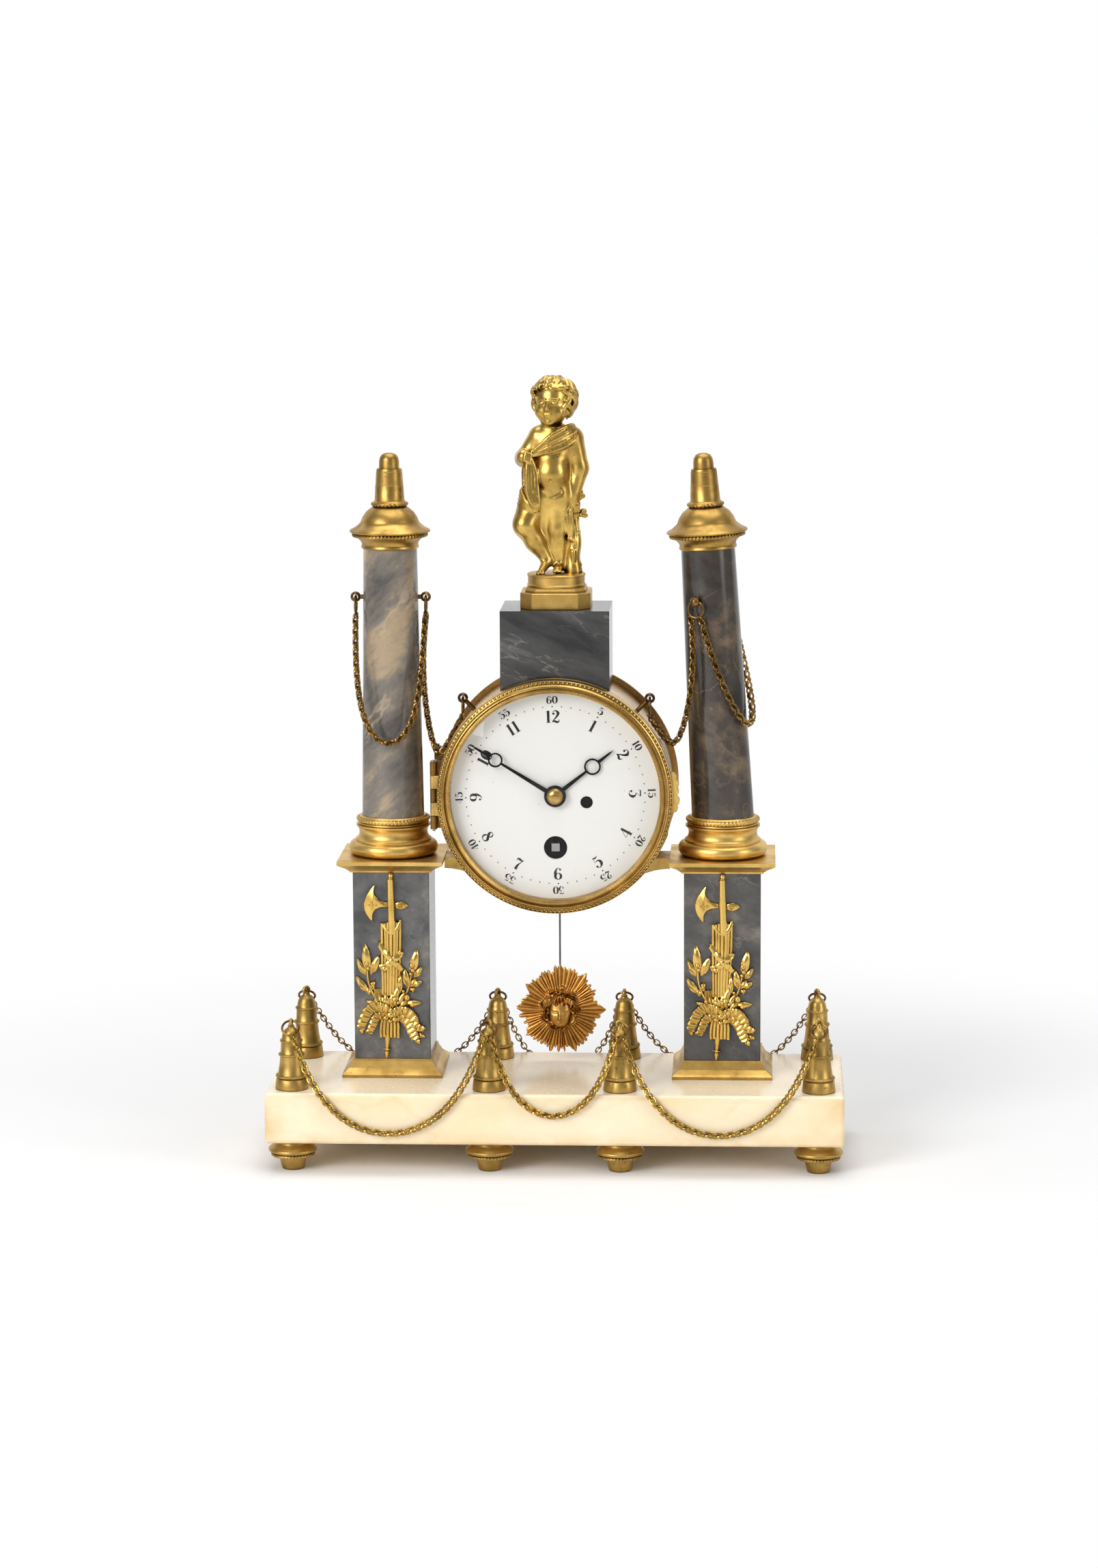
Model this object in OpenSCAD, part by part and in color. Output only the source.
// Portico mantel clock: two marble columns carry a drum clock, with a figure on top,
// chain-hung bollards round the base and a sun pendulum behind.
// Millimetres, +Z up, the dial faces -Y, origin under the middle of the base.

/* [Base] */
// Width of the marble base
base_w = 305; // [240:1:380]
// Depth of the marble base
base_d = 100; // [90:1:130]
// Thickness of the marble base
base_h = 27.4; // [18:0.1:40]
// Rounding of the base edges
base_round = 2.5; // [0.5:0.1:6]
// Distance of the end bollards' axes from the base's ends
end_post_inset = 13.5; // [10:0.5:20]
// Distance of the inner feet and bollards from the middle
mid_post_x = 34.5; // [30:0.5:50]
// Distance of the bollards' axes from the base's front and rear
post_inset = 13; // [10:0.5:20]

/* [Feet] */
// Radius of a foot on the table
foot_r = 6; // [4:0.1:9]
// Height of the turned cup of a foot
foot_cup_h = 7; // [5:0.1:12]
// Height of the rope band of a foot
foot_rope_h = 2.4; // [1.5:0.1:4]
// Radius of the disc of a foot
foot_disc_r = 12.8; // [9:0.1:14]
// Height of the disc of a foot
foot_disc_h = 4.5; // [3:0.1:7]
// Height of the neck under the base
foot_neck_h = 2; // [1:0.1:4]

/* [Bollards] */
// Radius of a bollard on the base
bollard_r = 8.8; // [7:0.1:10]
// Height of the flared bottom drum
bollard_drum_h = 6.3; // [4:0.1:9]
// Height of the tapering barrel
bollard_body_h = 10.4; // [8:0.1:16]
// Height of the upper barrel
bollard_neck_h = 6; // [4:0.1:10]
// Height of a rope band
rope_h = 1.6; // [1:0.1:2.5]
// Height of the dome with its stem
bollard_dome_h = 8.6; // [8:0.1:14]
// Radius of the pierced knob
knob_r = 2.5; // [2:0.1:3.5]
// Radius of the rod from the foot to the bollard
post_rod_r = 2; // [1.5:0.1:2.4]
// Depth of the rod in the foot and in the bollard
post_rod_in = 7; // [4:0.5:9]

/* [Chains] */
// Diameter of the chains
chain_d = 3; // [1.5:0.1:4]
// Mean radius of a chain ring
ring_r = 4.4; // [3.6:0.1:6]
// Radius of the ring wire
ring_wire = 0.6; // [0.4:0.05:0.9]
// Sag of the outer front chains
front_sag = 50; // [15:0.5:54]
// Sag of the middle front chain
front_mid_sag = 40; // [15:0.5:50]
// Sag of the rear chains
rear_sag = 40; // [15:0.5:48]
// Gap between a chain and the base faces
chain_gap = 0.7; // [0.3:0.1:3]
// Sag of the swags at the left column
left_swag = 66; // [15:0.5:80]
// Sag of the chain from the left column to the drum
left_drum_sag = 42; // [15:0.5:42]
// Sag of the chain from the right column to the drum
right_drum_sag = 34; // [15:0.5:36]
// Sag of the swag round the right column
right_swag = 58; // [15:0.5:70]

/* [Pedestals] */
// Distance of the pedestals from the middle
pedestal_x = 88; // [80:0.5:110]
// Pedestal centre behind the base's centre
pedestal_y = 13; // [0:0.5:16]
// Width of a marble pedestal
pedestal_w = 40.7; // [36:0.1:50]
// Height of a marble pedestal
pedestal_h = 101.4; // [90:0.1:130]
// Width of the brass foot frame
frame_w = 53.4; // [48:0.1:60]
// Height of the brass foot frame
frame_h = 9.3; // [6:0.1:14]
// Width of the brass cap
cap_w = 56; // [50:0.1:62]
// Height of the brass cap
cap_h = 6.7; // [5:0.1:10]
// Thickness of the cap's flat edge
cap_edge_h = 2.4; // [1.5:0.1:4]

/* [Columns] */
// Height of the turned column base
column_base_h = 21.3; // [16:0.1:30]
// Largest radius of the column base
column_base_r = 23.7; // [20:0.1:26]
// Radius of the shaft at the bottom
shaft_r = 16.5; // [13:0.1:18]
// Radius of the shaft at the top
shaft_top_r = 14.2; // [10:0.1:16]
// Height of the shaft
shaft_h = 142.7; // [110:0.1:180]
// Lean of the right column towards the dial, in degrees
right_column_lean = 3.2; // [0:0.1:4]
// Height of the finial
finial_h = 50.3; // [40:0.1:60]
// Radius of the finial's rim
finial_rim_r = 21.4; // [17:0.1:24]
// Hook height below the shaft's top
hook_drop = 26; // [15:0.5:40]
// Turn of the right column with its hooks to the left
right_hook_turn = 25; // [0:1:30]
// Radius of a pierced hook ball
hook_ball_r = 2.8; // [2.4:0.1:3.4]
// Radius of a hook stud
hook_stud_r = 1.2; // [0.8:0.1:1.6]
// Depth of a hook stud in its hole
hook_stud_in = 5; // [3:0.5:7]
// Radius of the tie rods
tie_rod_r = 2.5; // [1.5:0.1:3]

/* [Drum] */
// Height of the dial centre
dial_z = 196.4; // [185:0.1:240]
// How far the bezel stands out past the drum
bezel_over = 1.3; // [0.5:0.1:3]
// Thickness of the drum's wall
drum_wall = 1.8; // [1.2:0.1:3]
// Front face of the drum
drum_front = -11; // [-14:0.5:-9]
// Rear face of the drum
drum_rear = 40; // [38:0.5:45]
// How far the rear flange stands out past the drum
flange_over = 3; // [1.5:0.1:6]
// Thickness of the drum's rear flange
flange_t = 2.5; // [1.5:0.1:4]
// Half width of the pendulum slot
slot_half = 9; // [7:0.5:14]
// Thickness of the bracket bands
bracket_t = 2.6; // [1.5:0.1:4]
// Width of the bracket bands
bracket_w = 22; // [14:0.5:24]

/* [Bezel and dial] */
// Width of the bezel's rim from its opening to its outside
bezel_rim = 7; // [5:0.1:9]
// Radius of the bezel's opening
bezel_open_r = 55.3; // [53:0.1:56]
// Depth of the bezel
bezel_depth = 10.5; // [9.5:0.1:13]
// Rise of the domed glass
glass_rise = 7.5; // [5:0.1:10]
// Thickness of the glass
glass_t = 1.4; // [1:0.1:2]
// Opening angle of the bezel and of the rear door
door_angle = 100; // [60:1:105]
// How far the dial reaches behind the bezel's rim
dial_lap = 1.5; // [1:0.1:1.8]
// Thickness of the dial
dial_t = 1.5; // [1:0.1:2]
// Radius of the winding hole
winding_hole_r = 6.2; // [5:0.1:8]
// Length of the minute hand
minute_hand_l = 51.8; // [40:0.1:53]
// Length of the hour hand
hour_hand_l = 39.5; // [30:0.1:44]
// Angle of the minute hand from twelve
minute_angle = 301.5; // [0:0.5:360]
// Angle of the hour hand from twelve
hour_angle = 51.7; // [0:0.5:360]
// Thickness of the hands
hand_t = 0.7; // [0.4:0.1:1]

/* [Hinges] */
// Radius of a hinge knuckle
knuckle_r = 1.8; // [1.5:0.1:2.4]
// Radius of a hinge pin
hinge_pin_r = 0.8; // [0.5:0.1:1.1]
// Length of a hinge
hinge_l = 36; // [24:1:44]
// Gap between hinge knuckles
knuckle_gap = 0.3; // [0.2:0.05:0.6]

/* [Movement] */
// Radius of the plates
plate_r = 45.5; // [44:0.1:50]
// Thickness of the plates
plate_t = 2; // [1.5:0.1:2.6]
// Distance between the plates
plate_gap = 22; // [21.6:0.1:23]
// Module of the barrel wheel
barrel_module = 0.5; // [0.45:0.01:0.52]
// Module of the intermediate wheel
intermediate_module = 0.45; // [0.42:0.01:0.48]
// Module of the centre wheel
centre_module = 0.28; // [0.26:0.01:0.3]
// Module of the third wheel
third_module = 0.24; // [0.22:0.01:0.26]
// Module of the cannon pinion and the minute wheel
motion_module = 0.4; // [0.36:0.01:0.42]
// Height of the winding arbor's distance below the dial centre
barrel_drop = 28; // [26:0.1:30]
// Height of the pallet axis above the dial centre
pallet_rise = 25.8; // [25.2:0.1:28]
// Radius of the escape wheel
escape_r = 7.5; // [6.5:0.1:8]
// Radius of an arbor
arbor_r = 1; // [0.8:0.05:1.1]
// Radius of a pivot
pivot_r = 0.6; // [0.4:0.05:0.7]
// Thickness of a wheel
wheel_t = 1; // [0.8:0.1:1.2]
// Side of the winding square
winding_square = 4.2; // [3:0.1:5]
// Coils of the mainspring
spring_coils = 8; // [4:1:10]

/* [Pendulum] */
// Centre of the sun above the base
bob_z = 28.4; // [27.5:0.1:36]
// Radius of the sun's rays
ray_r = 24; // [18:0.1:25]
// Thickness of the sun
bob_t = 2; // [1.2:0.1:3]
// Radius of the pendulum rod
rod_r = 0.5; // [0.4:0.05:0.8]
// Depth of the pendulum behind the middle of the base
pendulum_y = 29.5; // [28.5:0.1:31]

/* [Top] */
// Width of the marble block
block_w = 57.5; // [50:0.5:70]
// Depth of the marble block
block_d = 46; // [40:0.5:47]
// Top of the block above the dial centre
block_top = 97.5; // [85:0.5:110]
// Width of the octagonal plinth
plinth_w = 37; // [36:0.1:44]
// Height of the octagonal plinth
plinth_h = 8.6; // [6:0.1:12]
// Height of the octagonal step
step_h = 2.3; // [1.5:0.1:4]
// Radius of the round base
round_r = 15.4; // [13:0.1:15.9]
// Height of the round base
round_h = 7; // [5:0.1:10]
// Height of the figure
putto_h = 106.5; // [90:0.5:120]

/* [Clearances] */
// Radial clearance of a shaft that turns in a bore
run_fit = 0.05; // [0.03:0.01:0.1]
// Radial clearance of a rod or stud in its hole
rod_fit = 0.1; // [0.05:0.05:0.3]
// Gap between faces of pieces that move past each other
slide_gap = 0.3; // [0.2:0.05:0.6]

/* [Hidden] */
$fn = 48;
end_post_x = base_w / 2 - end_post_inset;
post_y = base_d / 2 - post_inset;
bezel_r = bezel_open_r + bezel_rim;
drum_r = bezel_r - bezel_over;
flange_r = drum_r + flange_over;
dial_r = bezel_open_r + dial_lap;

foot_h = foot_cup_h + foot_rope_h + foot_disc_h + foot_neck_h;
base_top = foot_h + base_h;
cap_bottom = base_top + frame_h + pedestal_h;
cap_top = cap_bottom + cap_h;
shaft_bottom = cap_top + column_base_h;
hook_z = shaft_h - hook_drop;
bollard_h = bollard_drum_h + bollard_body_h + bollard_neck_h + 3 * rope_h + bollard_dome_h;
knob_z = base_top + bollard_h;
knob_bore = ring_wire + 0.65;
post_xs = [-end_post_x, -mid_post_x, mid_post_x, end_post_x];
chain_r = chain_d / 2;

// train: teeth, then arbor places from the dial centre in (x, z)
barrel_n = 80;
intermediate_pinion_n = 10;
intermediate_n = 72;
centre_pinion_n = 9;
centre_n = 96;
third_pinion_n = 8;
third_n = 103;
escape_pinion_n = 8;
escape_n = 30;
cannon_n = 12;
minute_n = 36;
minute_pinion_n = 10;
hour_n = 40;
function reach(m, a, b) = m * (a + b) / 2;
// third corner of a triangle on p and q, dp from p and dq from q, on the side given
function corner(p, q, dp, dq, side) =
    let (d = norm(q - p), a = (dp * dp - dq * dq + d * d) / (2 * d), h = sqrt(dp * dp - a * a),
         u = (q - p) / d)
    p + a * u + side * h * [-u[1], u[0]];
function bearing(p, q) = atan2(q[1] - p[1], q[0] - p[0]);
// turn of wheel b so that its gap meets a tooth of wheel a, which is turned by turn_a
function in_mesh(p, q, turn_a, na, nb) =
    bearing(p, q) + 180 + 180 / nb - (turn_a - bearing(p, q)) * na / nb;

centre_at = [0, 0];
barrel_at = [0, -barrel_drop];
pallet_at = [0, pallet_rise];
escape_at = [0, pallet_rise - escape_r * sqrt(2)];
intermediate_at = corner(barrel_at, centre_at, reach(barrel_module, barrel_n, intermediate_pinion_n),
    reach(intermediate_module, intermediate_n, centre_pinion_n), 1);
third_at = corner(centre_at, escape_at, reach(centre_module, centre_n, third_pinion_n),
    reach(third_module, third_n, escape_pinion_n), -1);
motion_reach = reach(motion_module, cannon_n, minute_n);
hour_module = 2 * motion_reach / (minute_pinion_n + hour_n);
minute_at = motion_reach * [cos(120), sin(120)];

barrel_turn = 0;
intermediate_pinion_turn = in_mesh(barrel_at, intermediate_at, barrel_turn, barrel_n,
    intermediate_pinion_n);
centre_pinion_turn = in_mesh(intermediate_at, centre_at, 0, intermediate_n, centre_pinion_n);
third_pinion_turn = in_mesh(centre_at, third_at, 0, centre_n, third_pinion_n);
escape_pinion_turn = in_mesh(third_at, escape_at, 0, third_n, escape_pinion_n);
minute_turn = in_mesh(centre_at, minute_at, 0, cannon_n, minute_n);
hour_turn = in_mesh(minute_at, centre_at, 0, minute_pinion_n, hour_n);

// layers of the movement along Y, from the dial back
dial_back = drum_front + 0.5;
dial_front = dial_back - dial_t;
dial_ring_t = 1.8;
plate_front = -3;
plate_back = plate_front + plate_t;
rear_plate = plate_back + plate_gap;
rear_plate_back = rear_plate + plate_t;
cock_y = rear_plate_back + 3;
cock_t = 1.5;
hour_hand_y = dial_front - 0.9 - hand_t;
minute_hand_y = hour_hand_y - 0.9 - hand_t;
motion_t = wheel_t;
minute_wheel_y = plate_front - 1 - motion_t;
hour_wheel_y = minute_wheel_y - 1.2 - motion_t;
cannon_r = 1.7;
cannon_bore = arbor_r + run_fit;
hour_bore = cannon_r + run_fit;
hour_pipe_r = hour_bore + 0.8;
dial_bore = hour_pipe_r + 0.6;
cannon_tip = minute_hand_y - 0.7;
bezel_rear = drum_front - slide_gap + 0.1;
bezel_front = bezel_rear - bezel_depth;
glass_seat_r = bezel_open_r + 0.8;
glass_sphere = (glass_seat_r * glass_seat_r + glass_rise * glass_rise) / (2 * glass_rise);
glass_edge = bezel_rear - 5;
glass_apex = glass_edge - glass_t - glass_rise;
hinge_x = bezel_r + knuckle_r + 0.1;
hinge_y = bezel_rear - 2.2;
door_front = drum_rear + slide_gap;
door_t = 1.5;
door_r = drum_r - 0.5;
rear_hinge_x = flange_r + knuckle_r + 0.1;
rear_hinge_y = door_front + door_t;
block_front = drum_front + 0.5;
block_y = block_front + block_d / 2;
block_z = dial_z + block_top;
figure_z = block_z + plinth_h + step_h + round_h;

// Sub-part to build, or all of them

// Helpers

// flat shape drawn in (x, z), from y0 back to y1
module along_y(y0, y1) {
    translate([0, y1, 0]) rotate([90, 0, 0]) linear_extrude(y1 - y0) children();
}

// at an arbor's place on the movement
module at(p) {
    translate([p[0], 0, dial_z + p[1]]) children();
}

module rod_y(r, y0, y1) {
    along_y(y0, y1) circle(r);
}

// profile of (radius, y) points turned about the dial's axis
module turned_y(points) {
    rotate([90, 0, 0]) rotate_extrude() polygon([for (p = points) [p[0], -p[1]]]);
}

module turned(points) {
    rotate_extrude() polygon(points);
}

// half-round bead on a turned profile: points from (r, z0) to (r, z1), standing out by h
function bead(r, z0, z1, h) = [for (a = [0 : 30 : 180])
    [r + h * sin(a), (z0 + z1) / 2 - (z1 - z0) / 2 * cos(a)]];

module round_rect(w, h, r) {
    square([w - 2 * r, h], center = true);
    square([w, h - 2 * r], center = true);
    for (x = [-1, 1], y = [-1, 1]) translate([x * (w / 2 - r), y * (h / 2 - r)]) circle(r);
}

// block with every edge rounded
module round_block(w, d, h, r) {
    intersection() {
        linear_extrude(h) round_rect(w, d, r);
        translate([0, 0, h / 2]) rotate([90, 0, 0]) linear_extrude(d + 2, center = true)
            round_rect(w, h, r);
        translate([0, 0, h / 2]) rotate([90, 0, 90]) linear_extrude(w + 2, center = true)
            round_rect(d, h, r);
    }
}

// square moulding with mitred corners from a half profile of (half width, z) points
module mitred(points) {
    both = concat(points, [for (i = [len(points) - 1 : -1 : 0]) [-points[i][0], points[i][1]]]);
    span = 4 * max([for (p = points) p[0]]);
    intersection() {
        rotate([90, 0, 0]) linear_extrude(span, center = true) polygon(both);
        rotate([90, 0, 90]) linear_extrude(span, center = true) polygon(both);
    }
}

module octagon(w, cut) {
    h = w / 2;
    polygon([[h, h - cut], [h - cut, h], [cut - h, h], [-h, h - cut],
             [-h, cut - h], [cut - h, -h], [h - cut, -h], [h, cut - h]]);
}

// toothed outline: tip and root are shares of the tooth pitch
module teeth(n, m, tip, root, add = 0.75, ded = 1.1) {
    pitch = 360 / n;
    ra = m * (n / 2 + add);
    rr = m * (n / 2 - ded);
    polygon([for (i = [0 : n - 1], s = [[rr, -root], [ra, -tip], [ra, tip], [rr, root]])
        s[0] * [cos(pitch * (i + s[1] / 2)), sin(pitch * (i + s[1] / 2))]]);
}

module wheel_teeth(n, m) teeth(n, m, 0.22, 0.52);
module pinion_teeth(n, m) teeth(n, m, 0.14, 0.4, 0.7, 1.1);

// wheel with five crossed-out windows
module crossed_wheel(n, m, hub) {
    rim = m * (n / 2 - 1.1) - 1.3;
    difference() {
        wheel_teeth(n, m);
        for (i = [0 : 4]) rotate(72 * i) intersection() {
            difference() {
                circle(rim);
                circle(hub);
            }
            polygon([[0.9, 0.7], [2 * rim, 0.7], [2 * rim * cos(72), 2 * rim * sin(72)],
                     [0.9 * cos(72) + 0.7 * sin(72), 0.9 * sin(72) - 0.7 * cos(72)]]);
        }
    }
}

// arbor between the plates with a pivot at each end
module arbor(r) {
    rod_y(r, plate_back + slide_gap, rear_plate - slide_gap);
    rod_y(pivot_r, plate_front + 0.2, rear_plate_back - 0.2);
}

// tube of six sides through a list of points
module chain_tube(path, r) {
    n = len(path);
    sides = 6;
    function ahead(i) = let (v = path[min(i + 1, n - 1)] - path[max(i - 1, 0)]) v / norm(v);
    function ring(i) =
        let (t = ahead(i), s = cross(t, abs(t[2]) > 0.9 ? [0, 1, 0] : [0, 0, 1]), a = s / norm(s), b
            = cross(a, t))
        [for (k = [0 : sides - 1]) path[i] + r * (cos(60 * k) * a + sin(60 * k) * b)];
    points = [for (i = [0 : n - 1]) each ring(i)];
    walls = [for (i = [0 : n - 2], k = [0 : sides - 1])
        let (a = i * sides + k, b = i * sides + (k + 1) % sides) each
            [[a, b, b + sides], [a, b + sides, a + sides]]];
    ends = [for (k = [1 : sides - 2]) each [[0, k + 1, k],
        [(n - 1) * sides, (n - 1) * sides + k, (n - 1) * sides + k + 1]]];
    polyhedron(points, concat(walls, ends));
}

// hanging curve from p to q: sag down and belly sideways, both at the middle, with steeper ends by slack
// and with the belly sooner by rush
function swag(p, q, sag, belly, slack = 0, rush = 2) =
    [for (i = [0 : 20]) let (t = i / 20, w = 4 * t * (1 - t), e = t - slack * sin(360 * t) / 6.2832)
        p + e * (q - p) - [0, 0, sag * w] + [belly[0], belly[1], 0] * (1 - pow(1 - w, rush))];

// ring that hangs from p with its plane tilted and turned
module ring_at(p, tilt, turn) {
    translate(p) rotate([0, 0, turn]) rotate([tilt, 0, 0]) translate([0, 0, ring_seat - ring_r])
        rotate([90, 0, 0]) rotate_extrude() translate([ring_r, 0]) circle(ring_wire, $fn = 20);
}

// Base

module posts() {
    for (x = post_xs, y = [-post_y, post_y]) translate([x, y, 0]) children();
}

module base_slab() {
    color("#f2e6c8") difference() {
        translate([0, 0, foot_h]) round_block(base_w, base_d, base_h, base_round);
        posts() translate([0, 0, foot_h - 1]) cylinder(r = post_rod_r + rod_fit, h = base_h + 2);
        for (s = [-1, 1]) translate([s * pedestal_x, pedestal_y, foot_h - 1]) {
            cylinder(r = tie_rod_r + rod_fit, h = base_h + 2);
            cylinder(r = tie_rod_r + 5, h = 7);
        }
    }
}

module feet() {
    rope_z = foot_cup_h;
    disc_z = rope_z + foot_rope_h;
    neck_z = disc_z + foot_disc_h;
    rope_r = foot_disc_r - 1.8;
    color("#c79a45") posts() difference() {
        turned(concat(
            [[0, 0], [foot_r, 0], [foot_r + 0.5, 1], [foot_r + 1.4, rope_z]],
            bead(rope_r - 1, rope_z, disc_z, 1),
            bead(foot_disc_r - 2, disc_z, neck_z, 2),
            [[foot_disc_r - 2.6, neck_z], [foot_disc_r - 3.6, foot_h], [0, foot_h]]));
        translate([0, 0, foot_h - post_rod_in]) cylinder(r = post_rod_r + rod_fit, h = post_rod_in + 1);
    }
}

module bollard() {
    body_z = bollard_drum_h + rope_h;
    rope2 = body_z + bollard_body_h;
    neck_z = rope2 + rope_h;
    rope3 = neck_z + bollard_neck_h;
    dome_z = rope3 + rope_h;
    difference() {
        union() {
            turned(concat(
                [[0, 0], [bollard_r, 0], [bollard_r, 1], [bollard_r - 0.8, bollard_drum_h]],
                bead(bollard_r - 1.4, bollard_drum_h, body_z, 0.8),
                [[bollard_r - 1.5, body_z], [bollard_r - 2.8, rope2]],
                bead(bollard_r - 2.8, rope2, neck_z, 0.7),
                [[bollard_r - 3.1, neck_z], [bollard_r - 3.4, rope3]],
                bead(bollard_r - 3.7, rope3, dome_z, 0.7),
                [[bollard_r - 4, dome_z], [bollard_r - 4.5, dome_z + 2.5],
                    [bollard_r - 6, dome_z + 4.3],
                 [1.5, dome_z + 5.2], [1.3, bollard_h - knob_r / 2], [0, bollard_h - knob_r / 2]]));
            translate([0, 0, bollard_h]) sphere(knob_r);
        }
        translate([0, 0, bollard_h]) rotate([0, 90, 0])
            cylinder(r = knob_bore, h = 4 * knob_r, center = true);
        translate([0, 0, -1]) cylinder(r = post_rod_r + rod_fit, h = post_rod_in + 1);
    }
}

module bollards() {
    color("#b8934e") posts() translate([0, 0, base_top]) bollard();
}

module bollard_rods() {
    color("#8d8a84") posts() translate([0, 0, foot_h - post_rod_in + 0.5])
        cylinder(r = post_rod_r, h = base_h + 2 * post_rod_in - 1);
}

// Chains

ring_lean = 42;
ring_seat = 0.35;
// lowest place on a bollard's ring, in front or at the back
function post_ring_end(x, side) =
    [x, side * (post_y + 2 * ring_r * sin(ring_lean) + chain_r * 0.8),
     knob_z + ring_seat - 2 * ring_r * cos(ring_lean) - chain_r * 0.3];

module chain_rings() {
    color("#7d6236") {
        for (x = post_xs) {
            ring_at([x, -post_y, knob_z], -ring_lean, 0);
            ring_at([x, post_y, knob_z], ring_lean, 0);
        }
        for (p = hook_balls) ring_at(p[0], 0, p[1]);
    }
}

module post_chain(i, side, sag) {
    a = post_ring_end(post_xs[i], side) + [1.8, 0, 0];
    b = post_ring_end(post_xs[i + 1], side) - [1.8, 0, 0];
    belly = side * (base_d / 2 + chain_gap + chain_r) - a[1];
    color("#c9a04c") chain_tube(swag(a, b, sag, [0, belly], 0.25, 4), chain_r);
}

module front_chain_left() post_chain(0, -1, front_sag);
module front_chain_middle() post_chain(1, -1, front_mid_sag);
module front_chain_right() post_chain(2, -1, front_sag);
module rear_chains() for (i = [0 : 2]) post_chain(i, 1, rear_sag);

// column hooks: left column at both sides, right column in front and behind
function shaft_r_at(z) = shaft_r + (shaft_top_r - shaft_r) * z / shaft_h;
column_hook_neck = 1.2;
drum_hook_neck = 6.2;
hook_out = shaft_r_at(hook_z) + hook_ball_r + column_hook_neck;
function leaned(p) =
    [p[0] * cos(right_column_lean) - p[2] * sin(right_column_lean), p[1],
     p[0] * sin(right_column_lean) + p[2] * cos(right_column_lean)];
left_top = [-pedestal_x, pedestal_y, shaft_bottom];
right_top = [pedestal_x, pedestal_y, shaft_bottom];
left_hook_out = left_top + [-hook_out, 0, hook_z];
left_hook_in = left_top + [hook_out, 0, hook_z];
right_hook_x = hook_out * sin(right_hook_turn);
right_hook_y = hook_out * cos(right_hook_turn);
right_hook_front = right_top + leaned([-right_hook_x, -right_hook_y, hook_z]);
right_hook_rear = right_top + leaned([right_hook_x, right_hook_y, hook_z]);
drum_hook_r = drum_r + drum_hook_neck + hook_ball_r;
drum_hook_y = 4;
drum_hook_angle = 45;
function drum_hook(s) =
    [s * drum_hook_r * cos(drum_hook_angle), drum_hook_y, dial_z + drum_hook_r * sin(drum_hook_angle)];
// ball places and the way that each ring's plane is turned
hook_balls = [[left_hook_out, 90], [left_hook_in, 90], [right_hook_front, -right_hook_turn],
              [right_hook_rear, -right_hook_turn], [drum_hook(-1), 90], [drum_hook(1), 90]];
chain_end_angle = 26;
ring_chain_gap = 0.9;
// chain end under a hook's ring, on one side of its lowest place
function ring_end(p, turn, side) =
    p + [0, 0, ring_seat - ring_r] + (ring_r + ring_wire + ring_chain_gap)
        * [side * sin(chain_end_angle) * cos(turn), side * sin(chain_end_angle) * sin(turn),
            -cos(chain_end_angle)];
// chain round the right column, half a turn from the front ring to the rear one
function column_wrap(sag) =
    let (reach = ring_r + ring_wire + ring_chain_gap, side = reach * sin(chain_end_angle) / hook_out * 180 / PI,
        start = 270 - right_hook_turn + side, up = hook_z + ring_seat - ring_r - reach * cos(chain_end_angle))
    [for (i = [0 : 24]) let (t = i / 24, a = start + (180 - 2 * side) * t)
        right_top + leaned([hook_out * cos(a), hook_out * sin(a), up - sag * 4 * t * (1 - t)])];
module left_column_chains() {
    color("#b08a42") {
        chain_tube(swag(ring_end(left_hook_out, 90, -1), ring_end(left_hook_in, 90, -1), left_swag,
            [0, -shaft_r - chain_r - 1], 0.75), chain_r);
        chain_tube(swag(ring_end(left_hook_in, 90, 1), ring_end(drum_hook(-1), 90, -1),
            left_drum_sag, [-5.8, -4]), chain_r);
    }
}

module right_column_chains() {
    color("#b08a42") {
        chain_tube(swag(ring_end(right_hook_front, -right_hook_turn, -1), ring_end(drum_hook(1), 90, -1),
            right_drum_sag, [5.5, -6]), chain_r);
        chain_tube(column_wrap(right_swag), chain_r);
    }
}

// Pedestals and columns

module pedestal_places() {
    for (s = [-1, 1]) translate([s * pedestal_x, pedestal_y, 0]) children();
}

module tie_bore(z0, h) {
    translate([0, 0, z0 - 1]) cylinder(r = tie_rod_r + rod_fit, h = h + 2);
}

module pedestal_feet() {
    w = frame_w / 2;
    top = pedestal_w / 2 + 0.9;
    color("#b48a42") pedestal_places() translate([0, 0, base_top]) difference() {
        mitred([[w, 0], [w, 1.6], [w - 1, 2.6], [(w + top) / 2 - 0.8, frame_h / 2],
            [top, frame_h - 1.2], [top, frame_h]]);
        tie_bore(0, frame_h);
    }
}

module pedestal() {
    translate([0, 0, base_top + frame_h]) difference() {
        linear_extrude(pedestal_h) round_rect(pedestal_w, pedestal_w, 0.8);
        tie_bore(0, pedestal_h);
    }
}

module left_pedestal() color("#8d8880") translate([-pedestal_x, pedestal_y, 0]) pedestal();
module right_pedestal() color("#8d8880") translate([pedestal_x, pedestal_y, 0]) pedestal();

module pedestal_caps() {
    w = cap_w / 2;
    low = pedestal_w / 2 + 1.2;
    cove = cap_h - cap_edge_h;
    color("#b48a42") pedestal_places() translate([0, 0, cap_bottom]) difference() {
        mitred([[low, 0], [low + 0.6, 1], [low + (w - low) * 0.35, cove * 0.55], [w - 0.8, cove],
            [w, cove + 0.4], [w, cap_h]]);
        tie_bore(0, cap_h);
    }
}

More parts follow.
